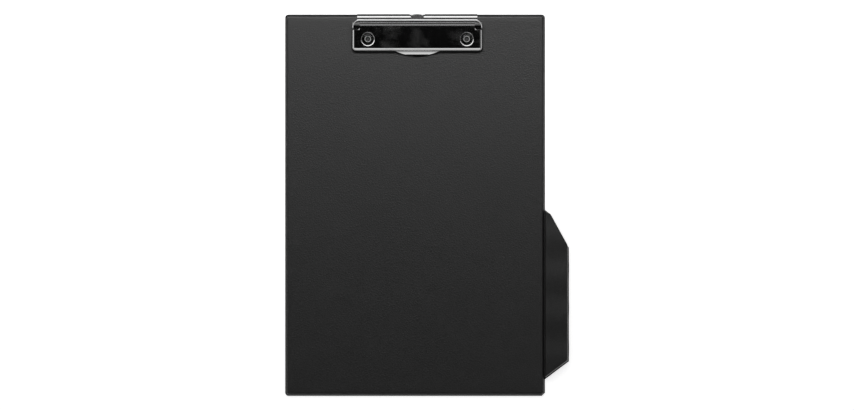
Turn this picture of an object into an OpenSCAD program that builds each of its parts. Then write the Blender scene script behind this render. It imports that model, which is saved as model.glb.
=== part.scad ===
// Vinyl-covered A4 clipboard with a spring lever clip, a pull-out hanging
// tongue and a pen pocket on its right-hand edge.
//
// The board lies on its back. X runs across the board towards the pen pocket,
// Y runs up the sheet towards the clip, and Z points out of the writing face.
// The origin is the centre of the board's back, on the surface it rests on.
// All sizes are in millimetres.

/* [Board] */
// Width of the board, over its welded rim
board_w = 235; // [215:1:260]
// Height of the board, over its welded rim
board_h = 345; // [320:1:380]
// Thickness of the greyboard core
core_t = 2.4; // [1.8:0.1:4]
// Thickness of one vinyl cover sheet
cover_t = 0.35; // [0.25:0.05:0.5]
// Rounding of the writing face's edge
edge_r = 1.9; // [1.2:0.1:2.2]
// Width of the welded rim around the board
rim_w = 1.1; // [0.8:0.1:1.6]
// Corner radius of the welded rim
corner_r = 3; // [3:0.1:8]
// Leg of the 45 degree trim on the lower right corner
trim_leg = 2.8; // [1.8:0.1:3]

/* [Pen pocket] */
// How far the pocket stands out beyond the board's edge
pocket_out = 21.7; // [18:0.1:30]
// Height of the pocket's lower end above the board's lower edge
pocket_low = 15; // [8:1:60]
// Length of the pocket along the board's edge
pocket_root = 153; // [140:1:200]
// Rise of the pocket's closed, sloping lower end
pocket_foot = 16.3; // [10:0.1:24]
// Length of the pocket's straight outer edge
pocket_side = 102.6; // [80:0.1:110]
// Width of the small facet where the mouth meets the board
facet_out = 5; // [3:0.1:8]
// Fall of the small facet where the mouth meets the board
facet_fall = 3.6; // [2:0.1:6]
// Thickness of one pocket ply
ply_t = 0.35; // [0.25:0.05:0.5]
// Width of the pocket's welded margin
pocket_weld = 1.3; // [1:0.1:2.5]
// Clear height inside the pocket
pocket_room = 5.4; // [4.8:0.1:8]
// Rounding of the front ply along its edges
ply_r = 2; // [1:0.1:2.6]
// Lean of the front ply's wall beside the board
root_lean = 0.6; // [0.2:0.1:1.5]
// Lean of the front ply's outer wall
side_lean = 1.2; // [0.4:0.1:3]
// Lean of the front ply's wall along the closed foot
foot_lean = 2.8; // [1:0.1:5]

/* [Clip plates] */
// Thickness of the clip's steel sheet
steel_t = 0.8; // [0.6:0.05:1]
// How far the clip's centre lies to the right of the board's centre
clip_x = 2; // [-8:0.5:8]
// Width of the lever over its side flanges
lever_w = 119.3; // [100:0.1:140]
// Distance from the hinge line forward to the face of the jaw
lever_reach = 25.5; // [22:0.1:30]
// Height of the lever's flat top above the writing face
lever_rise = 6.6; // [6:0.1:8]
// Outside radius of the bend between the lever's top and its jaw
jaw_r = 4.5; // [2:0.1:5]
// Outside radius of the bend between the lever's top and its side flanges
flank_r = 3.4; // [1.5:0.1:4]
// Outward lean of each side flange, from its bend to its lower edge
flank_lean = 1.2; // [0.4:0.1:2]
// Distance from the hinge line forward to the lever's shoulders
shoulder = 5.8; // [5.6:0.1:8]
// How far the rear corners of the lever are cut in from its sides
notch_in = 7.6; // [6:0.1:12]
// Inside corner radius of those cut-outs
notch_r = 1.6; // [0.5:0.1:2.5]
// Width of the thumb lip
lip_w = 41; // [30:1:50]
// Outside angle at which the thumb lip leaves the jaw bend
lip_start = 50; // [30:1:55]
// Outside angle at the thumb lip's free edge
lip_end = 5; // [3:1:25]
// Radius of the thumb lip's upward curve
lip_r = 6.8; // [6:0.1:14]
// Diameter of the rivet access holes in the lever
access_d = 11.2; // [8:0.1:12.6]

/* [Base plate] */
// Distance from the hinge line back to the rear face of the folded wall
wall_back = 4.1; // [3.9:0.1:7]
// Outside radius of the wall's rear corners
wall_r = 6.3; // [4.5:0.1:7]
// Gap from the lever's side to the outer face of the ears
ear_in = 1.15; // [0.6:0.05:2]
// Distance from the hinge line forward to the front edge of the ears
ear_front = 4.7; // [3.6:0.1:5]
// Metal left above the hinge wire in the ears
ear_top = 1.25; // [1:0.05:1.4]
// Flat stretch of the rear strip between the wall and the board's rounded edge
strip_flat = 1.4; // [0.8:0.1:3]
// Width of the rear strip that wraps over the board's upper edge
strip_w = 108.6; // [90:0.1:110]
// Angle through which the rear strip bends down over that edge
strip_wrap = 50; // [40:1:60]
// Length of the strip's straight apron below that bend
strip_apron = 2; // [1:0.1:2.2]
// Distance from the hinge line forward to the front edge of the floor
floor_front = 20.2; // [18:0.1:21]
// Distance between the two rivets
rivet_pitch = 89.3; // [70:0.1:92]
// Distance from the hinge line forward to the rivets
rivet_front = 13.8; // [12.5:0.1:14]

/* [Hinge wire] */
// Diameter of the torsion wire
wire_d = 2; // [1.6:0.1:2.4]
// Radial running clearance of the wire in its holes
wire_fit = 0.05; // [0.02:0.01:0.08]
// Thickness across the flats of the wire's keyed end
key_t = 1.4; // [1:0.1:1.4]

/* [Rivets] */
// Diameter of the rivets' rolled heads
head_d = 6; // [5:0.1:7]
// Height of the rivets' rolled heads
head_h = 1; // [0.8:0.1:1.4]
// Diameter of the rivets' shanks
shank_d = 3.6; // [3.4:0.1:4]
// Diameter of the hollow through the rivets
rivet_bore = 2.6; // [2:0.1:2.6]
// Diameter of the raised seat under each rivet head
seat_d = 8.4; // [7.2:0.1:9]
// Height of that raised seat
seat_h = 0.3; // [0.2:0.05:0.5]
// Diameter of the washers under the rivets' clinched ends
washer_d = 9.2; // [8:0.1:11]
// Thickness of those washers
washer_t = 0.5; // [0.4:0.05:0.6]
// Height of the clinched ends below the washers
clinch_h = 0.45; // [0.4:0.05:0.6]

/* [Hanging tongue] */
// Width of the tongue
tongue_w = 10.8; // [9:0.1:14]
// How far the tongue's end stands out beyond the board's upper edge
tongue_out = 0.6; // [0.3:0.1:2]
// Travel of the tongue
tongue_travel = 11.8; // [10:0.1:12]
// Diameter of the hanging eye
eye_d = 6; // [5:0.1:7]
// Distance from the tongue's end to the centre of the eye
eye_in = 7; // [5.5:0.1:8]
// Radius of the tongue's rounded end
tongue_r = 14; // [10:1:20]
// Height of the turned-up pull lip above the tongue
pull_h = 1.3; // [0.8:0.1:2]
// Extra width of the stop head on each side of the tongue
stop_w = 3.6; // [2:0.1:5]
// Length of the stop head
stop_l = 3; // [2:0.1:4]
// Side clearance of the tongue in its channel
slide_fit = 0.2; // [0.1:0.05:0.4]
// Length of the guide strap over the tongue
strap_l = 4; // [3:0.1:6]

/* [Hidden] */
$fn = 64;

// Heights of the board's layers
rim_top = 2 * cover_t;
face_z = 2 * cover_t + core_t;

// The edge rounding can't be more than the core and the corner allow
edge_round = min(edge_r, core_t, corner_r - rim_w);
core_gap = 0.02;

// Small clearances and steps, each named for what it keeps apart
knuckle_lift = 0.2;
flank_gap = 0.5;
shank_fit = 0.1;
stop_gap = 0.3;
end_gap = 0.1;
dish_fit = 0.4;
clinch_gap = 0.05;
weld_gap = 0.1;
root_gap = 0.2;

// The clip stands on the writing face. Its hinge line carries everything else
touch = 0.1;
edge_y = board_h / 2 - rim_w - edge_round;
hinge_y = edge_y - strip_flat - wall_back;
lever_top = face_z + lever_rise;
knuckle_in = wire_d / 2 + wire_fit;
knuckle_out = knuckle_in + steel_t;
hinge_z = lever_top - steel_t + knuckle_lift;
jaw_y = hinge_y - lever_reach;
jaw_z = face_z + touch;
flank_z = face_z + flank_gap;
shoulder_y = hinge_y - shoulder;
notch_x = lever_w / 2 - notch_in;
bend = [jaw_y + jaw_r, lever_top - jaw_r];
lip_y = bend[0] - jaw_r * sin(lip_start) - lip_r * (sin(lip_start) - sin(lip_end));
lip_step = 0.25;
lip_lap = 0.5;
lip_sag = lip_r * (sin(lip_start) - sin(lip_end)) - lip_step;
lip_plan_r = (lip_w * lip_w / 4 + lip_sag * lip_sag) / (2 * lip_sag);

// Base plate
floor_top = face_z + steel_t;
ear_x = lever_w / 2 - ear_in;
wall_rear = hinge_y + wall_back;
wall_y = wall_rear - steel_t;
wall_top = hinge_z + knuckle_in + ear_top;
ear_round = 2;
floor_y = hinge_y - floor_front;
rivet_y = hinge_y - rivet_front;
hole_r = shank_d / 2 + shank_fit;
wrap_gap = 0.05;
strip_lap = 0.6;
strip_r = edge_round + wrap_gap + steel_t;
strip_end = edge_y + strip_r * sin(strip_wrap) + strip_apron * cos(strip_wrap);

// Tongue, channel and guide
tongue_lift = 0.05;
tongue_z = face_z + tongue_lift;
tongue_top = tongue_z + steel_t;
tongue_end = board_h / 2 + tongue_out;
channel_x = tongue_w / 2 + slide_fit;
window_x = channel_x + stop_w;
stop_x = window_x - slide_fit;
stop_back_off = 1.8;
stop_front = floor_y + stop_back_off;
window_front = stop_front - stop_gap;
window_back = stop_front + stop_l + tongue_travel + end_gap;
strap_off = 1.5;
strap_y = stop_front + stop_l + strap_off;
guide_gap = 0.2;
slot_flare = 1.3;

// Flats on the wire's keyed end, and the slit where the knuckle's curl closes
key_l = steel_t + 0.6;
knuckle_slit = 0.25;

// The back of the board is dished around the clinched rivet ends
dish_r = washer_d / 2 + dish_fit;
dish_z = washer_t + clinch_h + clinch_gap;

// Pocket, from the board's edge outwards
root_x = board_w / 2;
root_low = -board_h / 2 + pocket_low;
root_high = root_low + pocket_root;
side_low = root_low + pocket_foot;
side_high = side_low + pocket_side;
tongue_root = root_x - rim_w + weld_gap;
ply_low = rim_top;
ply_mid = ply_low + ply_t;
ply_top = ply_mid + pocket_room + ply_t;
foot_angle = atan2(pocket_foot, pocket_out);
foot_r = ply_r + 1;
pocket_plan = [
    [tongue_root, root_low], [root_x, root_low], [root_x + pocket_out, side_low],
    [root_x + pocket_out, side_high], [root_x + facet_out, root_high - facet_fall],
    [root_x, root_high], [tongue_root, root_high]
];
far = 400;

// How far a fillet's arc reaches over the two sides that it joins
hair = 0.002;

// ---- Plain geometry -------------------------------------------------------

function unit(v) = v / norm(v);
function inward(a, b) = unit([a[1] - b[1], b[0] - a[0]]);

// A counter-clockwise polygon with every edge moved inwards by t
function inset(p, t) = [
    for (i = [0:len(p) - 1])
        let (
            n = len(p),
            m = inward(p[(i + n - 1) % n], p[i]),
            k = inward(p[i], p[(i + 1) % n])
        ) p[i] + t * (m + k) / (1 + m * k)
];

// What a fillet of radius r takes off the corner b between a and c. It is drawn past
// the corner, and its arc a hair too large, so that it crosses the sides and never grazes them
module fillet_waste(a, b, c, r) {
    u = unit(a - b);
    v = unit(c - b);
    half = acos(u * v) / 2;
    reach = r / tan(half);
    centre = b + unit(u + v) * r / sin(half);
    difference() {
        polygon([b - unit(u + v), b + u * reach, centre, b + v * reach]);
        translate(centre) circle(r = r + hair);
    }
}

// A convex polygon with a fillet of its own on every corner
module rounded(p, r) {
    n = len(p);
    difference() {
        polygon(p);
        for (i = [0:n - 1])
            if (r[i] > 0) fillet_waste(p[(i + n - 1) % n], p[i], p[(i + 1) % n], r[i]);
    }
}

// A rectangle between two corners
module span(low, high) translate(low) square(high - low);

// A profile drawn in Y and Z, carried along X and centred on it
module along_x(length) translate([-length / 2, 0, 0]) rotate([90, 0, 90]) linear_extrude(length) children();

// A profile drawn in X and Z, carried along Y from low to high
module along_y(low, high) translate([0, high, 0]) rotate([90, 0, 0]) linear_extrude(high - low) children();

// A flat plate with a plan of its own, between two heights
module plate(low, high) translate([0, 0, low]) linear_extrude(high - low) children();

// A stretch of a bent sheet: the ring between two radii, from one angle to another
module ring_part(r_in, r_out, from, to) {
    big = 2 * r_out;
    middle = (from + to) / 2;
    intersection() {
        difference() {
            circle(r = r_out);
            circle(r = r_in);
        }
        polygon([
            [0, 0], big * [cos(from), sin(from)], big * [cos(middle), sin(middle)], big * [cos(to), sin(to)]
        ]);
    }
}

// A profile drawn outwards from a corner's centre, carried round a rounded rectangle
module around(w, h, r) {
    for (side = [0, 1])
        for (turn = [0, 180])
            rotate(turn + 90 * side)
                translate([(side == 0 ? w : h) / 2 - r, 0, 0])
                    along_y(-(side == 0 ? h : w) / 2 + r, (side == 0 ? h : w) / 2 - r) children();
    for (x = [-1, 1], y = [-1, 1])
        translate([x * (w / 2 - r), y * (h / 2 - r), 0])
            rotate(x > 0 ? (y > 0 ? 0 : 270) : (y > 0 ? 90 : 180))
                rotate_extrude(angle = 90) children();
}

// Both rivets stand on the clip's centre line
module at_rivets() for (side = [-1, 1]) translate([clip_x + side * rivet_pitch / 2, rivet_y, 0]) children();

// ---- Board ----------------------------------------------------------------

// Half of a cover's cross-section over the board's edge, with its rounded shoulder
module edge_block(inset_w, low, high, r) {
    reach = corner_r - rim_w - inset_w;
    rounded([[0, low], [reach, low], [reach, high], [0, high]], [0, 0, r, 0]);
}

// The board's solid form inside the welded rim, shrunk by a margin
module board_form(margin, low, high) {
    r = edge_round - margin;
    around(board_w, board_h, corner_r) edge_block(margin, low, high, r);
    plate(low, high) square([board_w - 2 * corner_r, board_h - 2 * corner_r], center = true);
}

// The welded rim's plan, with its trimmed corner
module rim_plan() {
    w = board_w / 2;
    h = board_h / 2;
    difference() {
        rounded([[-w, -h], [w, -h], [w, h], [-w, h]], [corner_r, corner_r, corner_r, corner_r]);
        translate([w - trim_leg, -h]) polygon([
            [0, 0], [0, -1], [trim_leg + 1, -1], [trim_leg + 1, trim_leg], [trim_leg, trim_leg]
        ]);
    }
}

// Greyboard core, with its face edges pressed round
module core_board() color("tan") difference() {
    board_form(cover_t + core_gap, cover_t, cover_t + core_t);
    at_rivets() {
        cylinder(r = hole_r, h = face_z);
        cylinder(r = dish_r + cover_t + core_gap, h = dish_z + cover_t);
    }
}

// Vinyl sheet over the writing face, down the sides and out into the welded rim
module front_cover() color([0.16, 0.16, 0.17]) difference() {
    union() {
        board_form(0, cover_t, face_z);
        plate(cover_t, rim_top) rim_plan();
    }
    board_form(cover_t, 0, face_z - cover_t);
    at_rivets() cylinder(r = hole_r, h = 2 * face_z);
}

// Vinyl sheet over the back, dished around the rivet ends
module back_cover() color([0.16, 0.16, 0.17]) {
    difference() {
        plate(0, cover_t) rim_plan();
        at_rivets() translate([0, 0, -1]) cylinder(r = dish_r, h = 2 + cover_t);
    }
    at_rivets() rotate_extrude() {
        span([dish_r, 0], [dish_r + cover_t, dish_z + cover_t]);
        span([hole_r, dish_z], [dish_r + cover_t, dish_z + cover_t]);
    }
}

// ---- Pen pocket -----------------------------------------------------------

// Where a leaning wall of the front ply stands at a height
function leant(base, lean, z) = base + lean * (z - ply_mid) / (ply_top - ply_mid);

// The bulge of the front ply, shrunk by t: a long trough that closes down to the sloping foot
module pocket_bulge(t) {
    low = ply_mid - ply_top;
    left = root_x + root_gap;
    right = root_x + pocket_out - pocket_weld;
    trough = [
        [leant(left, root_lean, low), low], [leant(right, -side_lean, low), low],
        [right - side_lean, ply_top], [left + root_lean, ply_top]
    ];
    foot = [
        [leant(pocket_weld, foot_lean, low), low], [far, low],
        [far, ply_top], [pocket_weld + foot_lean, ply_top]
    ];
    intersection() {
        along_y(-far, far) rounded(inset(trough, t), [0, 0, ply_r - t, ply_r - t]);
        translate([root_x, root_low, 0]) rotate([0, 0, foot_angle])
            along_x(far) rounded(inset(foot, t), [0, 0, 0, foot_r - t]);
        plate(ply_mid, 2 * ply_top) square(2 * far, center = true);
    }
}

// Flat ply at the back of the pocket, welded on the board's rim
module pocket_back_ply() color([0.2, 0.2, 0.21]) plate(ply_low, ply_mid) polygon(pocket_plan);

// Bulged ply at the front of the pocket, open at its slanting mouth
module pocket_front_ply() color([0.22, 0.22, 0.23]) difference() {
    union() {
        plate(ply_mid, ply_mid + ply_t) polygon(pocket_plan);
        intersection() {
            pocket_bulge(0);
            plate(ply_mid, ply_top) polygon(pocket_plan);
        }
    }
    pocket_bulge(ply_t);
}

// ---- Clip -----------------------------------------------------------------

// The plan of the wall and the ears. The hollow inside it is drawn t smaller, and
// runs out past the open front by that much
module wall_plan(t) {
    x = ear_x - t;
    front = hinge_y - ear_front - t;
    back = wall_y - t;
    rounded([[-x, front], [x, front], [x, back], [-x, back]], [0, 0, wall_r - t, wall_r - t]);
}

// The ears and the rear wall, seen from the side
module wall_side() {
    front = hinge_y - ear_front;
    side = [[front, face_z], [wall_rear, face_z], [wall_rear, wall_top], [front, wall_top]];
    rounded(side, [0, 0, 0, ear_round]);
}

// The rear wall is folded back on itself: both layers, seen from the side
module fold_side() {
    front = wall_y - steel_t;
    side = [[front, face_z], [wall_rear, face_z], [wall_rear, wall_top], [front, wall_top]];
    rounded(side, [0, 0, steel_t, steel_t]);
}

// The floor's plan, with the window in which the tongue's stop head travels
module floor_plan() difference() {
    union() {
        wall_plan(0);
        span([-strip_w / 2, floor_y], [strip_w / 2, edge_y]);
    }
    span([-window_x, window_front], [window_x, window_back]);
    span([-channel_x, window_front], [channel_x, edge_y + 1]);
}

// Everything under a surface that runs back level, bends down with radius r and runs
// straight on, seen from the side
module below_bend(start, r, reach) {
    top = face_z - edge_round + r;
    corner = [edge_y + r * tan(strip_wrap / 2), top];
    end = corner + reach * [cos(strip_wrap), -sin(strip_wrap)];
    rounded([[start, end[1]], end, corner, [start, top]], [0, 0, r, 0]);
}

// The rear strip, bent down over the board's edge into an apron, seen from the side
module strip_side() difference() {
    start = edge_y - strip_lap;
    reach = 4 * strip_r;
    below_bend(start, strip_r, reach);
    below_bend(start - 1, strip_r - steel_t, reach + 1);
    translate([edge_y, face_z - edge_round]) rotate(-strip_wrap) span([strip_apron, -reach], [2 * reach, reach]);
}

// The slot in the rear strip, flared towards the board's edge
module strip_slot() {
    out = strip_end + 1;
    wide = channel_x + slot_flare * (out - edge_y) / (strip_end - edge_y);
    polygon([[-channel_x, edge_y], [channel_x, edge_y], [wide, out], [-wide, out]]);
}

// Strap that holds the tongue down, drawn in X and Z
module tongue_guide() difference() {
    roof = tongue_top + guide_gap;
    span([-window_x - steel_t, face_z], [window_x + steel_t, roof + steel_t]);
    span([-window_x, face_z - 1], [window_x, roof]);
}

// The ear's hole for the wire's keyed end, round with two flats
module keyed_hole() intersection() {
    circle(r = knuckle_in);
    square([key_t + 2 * wire_fit, 3 * wire_d], center = true);
}

// The base plate's metal, before it is pierced
module base_metal() {
    plate(face_z, floor_top) floor_plan();
    intersection() {
        plate(face_z, wall_top) difference() {
            wall_plan(0);
            wall_plan(steel_t);
        }
        along_x(lever_w) wall_side();
    }
    along_x(strip_w) fold_side();
    along_x(strip_w) strip_side();
    for (side = [-1, 1])
        translate([side * rivet_pitch / 2, rivet_y, face_z]) cylinder(d = seat_d, h = steel_t + seat_h);
    along_y(strap_y, strap_y + strap_l) tongue_guide();
}

// Riveted base: floor, ears, folded rear wall and a strip that wraps over the board's edge
module base_plate() color("silver") translate([clip_x, 0, 0]) difference() {
    base_metal();
    plate(0, 2 * wall_top) strip_slot();
    plate(face_z - 1, tongue_top + guide_gap) span([-channel_x, window_back], [channel_x, edge_y + 1]);
    for (side = [-1, 1])
        translate([side * rivet_pitch / 2, rivet_y, 0]) cylinder(r = hole_r, h = 2 * wall_top);
    translate([0, hinge_y, hinge_z]) rotate([0, 90, 0]) {
        translate([0, 0, -lever_w]) cylinder(r = knuckle_in, h = lever_w);
        linear_extrude(lever_w) keyed_hole();
    }
}

// Spring steel wire that is hinge pin and torsion spring in one, flattened at its keyed end
module hinge_wire() color("dimgray") translate([clip_x, hinge_y, hinge_z]) rotate([0, 90, 0]) difference() {
    translate([0, 0, -ear_x]) cylinder(d = wire_d, h = 2 * ear_x);
    for (side = [-1, 1])
        translate([side * (key_t + wire_d) / 2, 0, ear_x])
            cube([wire_d, 2 * wire_d, 2 * key_l], center = true);
}

// Half the lever's width at a height, before its bends
function flank_x(z) = lever_w / 2 - flank_lean * (z - flank_z) / (lever_top - flank_z);

// The lever's pressed form, open below and behind; the hollow inside it is drawn
// t smaller, and runs out past the open sides by that much
module lever_form(t) {
    low = jaw_z - 3 * t;
    back = shoulder_y + t;
    foot_x = flank_x(low);
    top_x = flank_x(lever_top);
    section = [[-foot_x, low], [foot_x, low], [top_x, lever_top], [-top_x, lever_top]];
    side = [[jaw_y + t, low], [back, low], [back, lever_top - t], [jaw_y + t, lever_top - t]];
    intersection() {
        along_y(jaw_y - 1, back + 1) rounded(inset(section, t), [0, 0, flank_r - t, flank_r - t]);
        along_x(2 * lever_w) rounded(side, [0, 0, 0, jaw_r - t]);
    }
}

// Everything beyond the angle at which the thumb lip leaves the jaw bend
module jaw_gap_side() {
    out = board_h * [-sin(lip_start), cos(lip_start)];
    translate(bend) polygon([[0, 0], out, [-board_h, out[1]], [-board_h, -board_h], [0, -board_h]]);
}

// The thumb lip's curved sheet, seen from the side
module lip_side() {
    centre = bend + (jaw_r + lip_r) * [-sin(lip_start), cos(lip_start)];
    translate(centre) ring_part(lip_r, lip_r + steel_t, lip_start - 90 + lip_lap, lip_end - 90);
}

// The knuckle, curled round the wire, with the plate that runs into it
module knuckle_side() difference() {
    union() {
        translate([hinge_y, hinge_z]) circle(r = knuckle_out);
        span([shoulder_y - 1, lever_top - steel_t], [hinge_y, lever_top]);
    }
    translate([hinge_y, hinge_z]) {
        circle(r = knuckle_in);
        polygon([
            [0, -knuckle_slit], [-2 * knuckle_out, -knuckle_slit], [-2 * knuckle_out, -2 * knuckle_out]
        ]);
    }
}

// Pressed lever: flat top, jaw, side flanges, thumb lip and hinge knuckle
module lever() color("silver") translate([clip_x, 0, 0]) difference() {
    union() {
        difference() {
            lever_form(0);
            lever_form(steel_t);
            along_x(lip_w) jaw_gap_side();
            for (side = [-1, 1])
                translate([side * lever_w / 2 - jaw_r, bend[0], jaw_z - steel_t])
                    cube([2 * jaw_r, lever_reach, flank_z - jaw_z + steel_t]);
        }
        along_x(2 * notch_x) knuckle_side();
        intersection() {
            along_x(lip_w) lip_side();
            translate([0, lip_y + lip_plan_r, 0]) cylinder(r = lip_plan_r, h = 2 * lever_top, $fn = 360);
        }
        notch_fillets();
    }
    for (side = [-1, 1])
        translate([side * rivet_pitch / 2, rivet_y, lever_top - 2 * steel_t])
            cylinder(d = access_d, h = 3 * steel_t);
}

// Rounded inside corners of the cut-outs beside the knuckle
module notch_fillets() for (side = [-1, 1])
    plate(lever_top - steel_t, lever_top)
        translate([side * notch_x, shoulder_y]) mirror([side < 0 ? 1 : 0, 0]) difference() {
            span([-notch_r / 2, -notch_r / 2], [notch_r, notch_r]);
            translate([notch_r, notch_r]) circle(r = notch_r);
        }

// Flat tongue with a hanging eye, a stop head inside the clip and a pull lip at its end
module hanging_tongue() color("gainsboro") translate([clip_x, 0, 0]) difference() {
    bow_y = tongue_end - tongue_r;
    union() {
        plate(tongue_z, tongue_top) {
            span([-tongue_w / 2, stop_front], [tongue_w / 2, bow_y]);
            span([-stop_x, stop_front], [stop_x, stop_front + stop_l]);
            intersection() {
                translate([0, bow_y]) circle(r = tongue_r);
                span([-tongue_w / 2, bow_y], [tongue_w / 2, tongue_end + 1]);
            }
        }
        plate(tongue_z, tongue_top + pull_h) intersection() {
            translate([0, bow_y]) difference() {
                circle(r = tongue_r);
                circle(r = tongue_r - steel_t);
            }
            span([-tongue_w / 2, bow_y], [tongue_w / 2, tongue_end + 1]);
        }
    }
    translate([0, tongue_end - eye_in, 0]) cylinder(d = eye_d, h = 2 * tongue_top);
}

// ---- Fasteners ------------------------------------------------------------

// One tubular rivet: rolled head, shank and clinched end, drawn as a half-section
module rivet_section() {
    bore = rivet_bore / 2;
    head_low = floor_top + seat_h;
    head_top = head_low + head_h;
    washer_low = dish_z - washer_t;
    clinch_low = washer_low - clinch_h;
    clinch_r = shank_d / 2 + 1.4;
    rounded(
        [[bore, head_low], [head_d / 2, head_low], [head_d / 2, head_top], [bore, head_top]],
        [0, 0, 0.65 * head_h, 0.55 * head_h]
    );
    span([bore, washer_low], [shank_d / 2, head_low]);
    rounded(
        [[bore, clinch_low], [clinch_r, clinch_low], [clinch_r, washer_low], [bore, washer_low]],
        [clinch_h / 2, clinch_h / 2, 0, 0]
    );
}

// Two tubular rivets through the base plate, the board and the washers
module rivets() color("lightgray") at_rivets() rotate_extrude() rivet_section();

// A washer behind the board under each clinched end
module rivet_washers() color("lightgray") at_rivets() rotate_extrude()
    span([hole_r, dish_z - washer_t], [washer_d / 2, dish_z]);

core_board();
front_cover();
back_cover();
pocket_back_ply();
pocket_front_ply();
base_plate();
hinge_wire();
lever();
hanging_tongue();
rivets();
rivet_washers();
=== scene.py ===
# %% [markdown]
# # A vinyl-covered clipboard, dressed for the camera
#
# The board is two sheets of grained vinyl welded round a greyboard core. A pressed
# and nickel-plated lever clip is riveted to its upper edge, with a hanging tongue
# inside it, and a flat pocket for a pen is welded to its right-hand edge.
# The CAD model is the frame: it has the true sizes and the bodies that move. This
# lesson gives each visible surface its final shape and its finish.

import bmesh
import bpy
import numpy as np
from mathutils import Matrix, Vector


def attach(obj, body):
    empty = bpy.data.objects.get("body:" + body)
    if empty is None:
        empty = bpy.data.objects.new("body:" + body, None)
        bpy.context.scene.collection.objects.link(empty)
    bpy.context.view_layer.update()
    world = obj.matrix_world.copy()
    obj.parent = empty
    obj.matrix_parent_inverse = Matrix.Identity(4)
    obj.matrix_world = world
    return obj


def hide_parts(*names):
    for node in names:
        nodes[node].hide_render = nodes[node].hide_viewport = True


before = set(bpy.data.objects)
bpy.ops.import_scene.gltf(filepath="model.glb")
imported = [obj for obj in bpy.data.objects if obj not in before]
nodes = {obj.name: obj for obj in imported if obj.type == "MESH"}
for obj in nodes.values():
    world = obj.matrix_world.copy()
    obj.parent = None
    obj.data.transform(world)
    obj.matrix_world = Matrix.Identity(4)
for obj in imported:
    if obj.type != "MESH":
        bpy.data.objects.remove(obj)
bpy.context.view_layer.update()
MM = 0.001
print("nodes:", sorted(nodes))

# %% [markdown]
# ## Camera
#
# A flat object is shown best from straight above, so that its outline keeps its
# proportions. A long lens far away makes the rays almost parallel. The alternative
# is an orthographic camera, but then the clip's bright bends would all mirror the
# very same direction, which never happens on a real table.

# %% Camera
FRAME_WIDTH = 773.04 * MM
CAMERA_HEIGHT = 3000 * MM
SENSOR = 36.0
AIM = (10.8 * MM, 0.2 * MM)
NEAREST_SEEN, FARTHEST_SEEN = 0.1, 50.0


def in_scene(name, data):
    """A new object in the scene, made from a mesh, a lamp or a camera."""
    thing = bpy.data.objects.new(name, data)
    bpy.context.scene.collection.objects.link(thing)
    return thing


camera_data = bpy.data.cameras.new("camera")
camera_data.sensor_width = SENSOR
camera_data.lens = SENSOR * CAMERA_HEIGHT / FRAME_WIDTH
camera_data.clip_start, camera_data.clip_end = NEAREST_SEEN, FARTHEST_SEEN
camera = in_scene("camera", camera_data)
camera.location = (*AIM, CAMERA_HEIGHT)
bpy.context.scene.camera = camera
bpy.context.scene.view_settings.view_transform = "Standard"
print("lens in mm:", round(camera_data.lens, 1))

# %% [markdown]
# ## Small helpers for finishes
#
# Every finish is a node tree that reads Object coordinates, so its grain has a real
# size and keeps its place on the piece. A few helpers keep the trees readable: one
# makes a node and fills its sockets, the others do one step of arithmetic each. A
# noise texture seldom leaves the middle of its range, so where it should make a
# full contrast, that middle is stretched.

# %% Node helpers
NOISE_LOW, NOISE_HIGH = 0.3, 0.7


def new_finish(name):
    """A material with a plain Principled shader, and its node tree to build on."""
    finish = bpy.data.materials.new(name)
    finish.use_nodes = True
    return finish, finish.node_tree, finish.node_tree.nodes["Principled BSDF"]


def fill(tree, node, values):
    """Sets a node's inputs, by name or number, to values, or links other nodes' outputs
    to them."""
    for key, value in values.items():
        if isinstance(value, bpy.types.NodeSocket):
            tree.links.new(value, node.inputs[key])
        else:
            node.inputs[key].default_value = value


def add(tree, kind, values=None, **settings):
    """A node of a kind, with its settings, and values or links on its inputs."""
    node = tree.nodes.new(kind)
    for key, value in settings.items():
        setattr(node, key, value)
    fill(tree, node, values or {})
    return node


def place_on(tree, scale=(1, 1, 1)):
    """Object coordinates times a scale: the socket that patterns read. A scale under 1
    stretches the pattern along that axis."""
    place = add(tree, "ShaderNodeTexCoord").outputs["Object"]
    return add(tree, "ShaderNodeMapping", {"Vector": place, "Scale": scale}).outputs[0]


def noise(tree, place, size, detail=2.0, roughness=0.5):
    """A cloudy value from 0 to 1, with clouds of about that size in metres."""
    values = {"Vector": place, "Scale": 1 / size, "Detail": detail, "Roughness": roughness}
    return add(tree, "ShaderNodeTexNoise", values).outputs["Fac"]


def remap(tree, value, low, high, to_low, to_high):
    """A straight-line map from one range to another, clamped at its ends."""
    values = {0: value, 1: low, 2: high, 3: to_low, 4: to_high}
    return add(tree, "ShaderNodeMapRange", values).outputs[0]


def maths(tree, operation, first, second, third=0.0):
    """One step of arithmetic on sockets or numbers."""
    values = {0: first, 1: second, 2: third}
    return add(tree, "ShaderNodeMath", values, operation=operation).outputs[0]


def blend(tree, amount, low, high):
    """A colour between two, by an amount from 0 to 1."""
    colours = {0: amount, 6: (*low, 1), 7: (*high, 1)}
    return add(tree, "ShaderNodeMix", colours, data_type="RGBA").outputs[2]


def tint(tree, amount, low, high):
    """A grey between two levels, by an amount from 0 to 1."""
    return blend(tree, amount, (low,) * 3, (high,) * 3)


def bump(tree, height, depth):
    """A normal bent by a height map, whose full range is depth metres."""
    values = {"Height": height, "Distance": depth, "Strength": 1.0}
    return add(tree, "ShaderNodeBump", values).outputs[0]


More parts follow.
